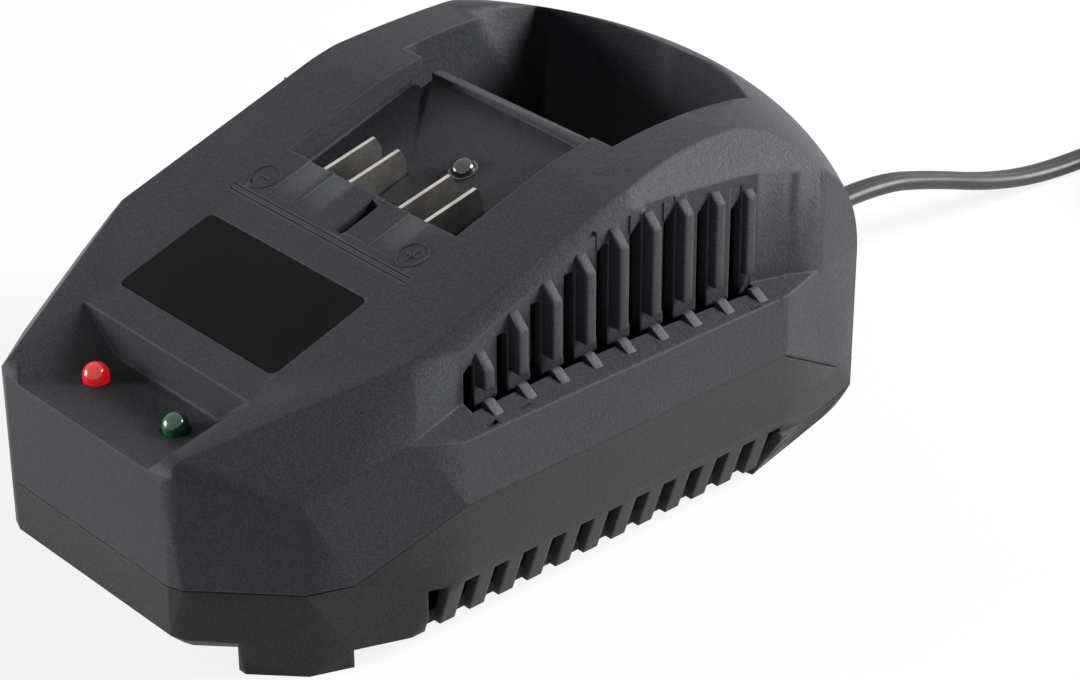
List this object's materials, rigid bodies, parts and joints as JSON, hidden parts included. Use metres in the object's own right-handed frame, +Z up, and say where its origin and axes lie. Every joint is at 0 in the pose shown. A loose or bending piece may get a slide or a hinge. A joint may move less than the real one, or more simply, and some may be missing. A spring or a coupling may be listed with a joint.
{
  "type": "power tool battery charger",
  "caption": "Wedge-shaped mains charger for a slide-in tool battery: open bay with contact blades, deep rear well, status lamps, side louvres, supply lead with plug.",
  "frame": {"origin": "centre of the casing's bounding box in plan, at the feet's undersides", "axes": "+Z up, +Y from the lamps at the front to the supply lead at the rear, +X to the right when seen from above with the rear away"},
  "size_m": [0.1406, 0.3965, 0.0725],
  "materials": {
    "casing_upper": "fine spark-eroded texture, dark anthracite",
    "casing_lower": "fine spark-eroded texture, dark grey",
    "label_film": "glossy black, bare",
    "lamp_red": "clear tinted red",
    "lamp_green": "clear tinted green",
    "black_plastic": "moulded, satin",
    "contact_metal": "nickel-plated",
    "steel": "zinc-plated",
    "pin_metal": "nickel-plated, polished",
    "board": "resin board, green lacquer",
    "ferrite": "sintered, matt",
    "winding": "taped winding on a moulded bobbin",
    "can_sleeve": "shrunk sleeve on an aluminium can",
    "heatsink_metal": "extruded, plain",
    "fuse_glass": "clear tube",
    "film_box": "moulded box",
    "wire_red": "insulated wire",
    "cord_sheath": "smooth dark grey sheath",
    "plug_plastic": "moulded, satin"
  },
  "bodies": {
    "root": {"upper_casing": "casing_upper", "lower_casing": "casing_lower", "rating_label": "label_film", "red_lamp": "lamp_red", "green_lamp": "lamp_green", "lamp_holder": "black_plastic", "blade_1": "contact_metal", "blade_2": "contact_metal", "blade_3": "contact_metal", "blade_4": "contact_metal", "contact_carrier": "black_plastic", "contact_wires": "wire_red", "main_board": "board", "transformer_core": "ferrite", "transformer_bobbin": "winding", "input_capacitor": "can_sleeve", "output_capacitors": "can_sleeve", "output_choke": "black_plastic", "line_choke": "winding", "filter_capacitor": "film_box", "fuse": "fuse_glass", "fuse_clips": "steel", "bridge_rectifier": "black_plastic", "power_transistor": "black_plastic", "output_diode": "black_plastic", "primary_heatsink": "heatsink_metal", "secondary_heatsink": "heatsink_metal", "optocoupler": "black_plastic", "control_chip": "black_plastic", "casing_screws": "steel", "board_screws": "steel", "clamp_screws": "steel", "cord_clamp": "black_plastic", "strain_relief": "cord_sheath", "inner_lead": "cord_sheath", "lead_wires": "wire_red", "mains_cord": "cord_sheath", "cord_coil": "cord_sheath", "plug_body": "plug_plastic", "plug_pins": "pin_metal"}
  },
  "joints": []
}
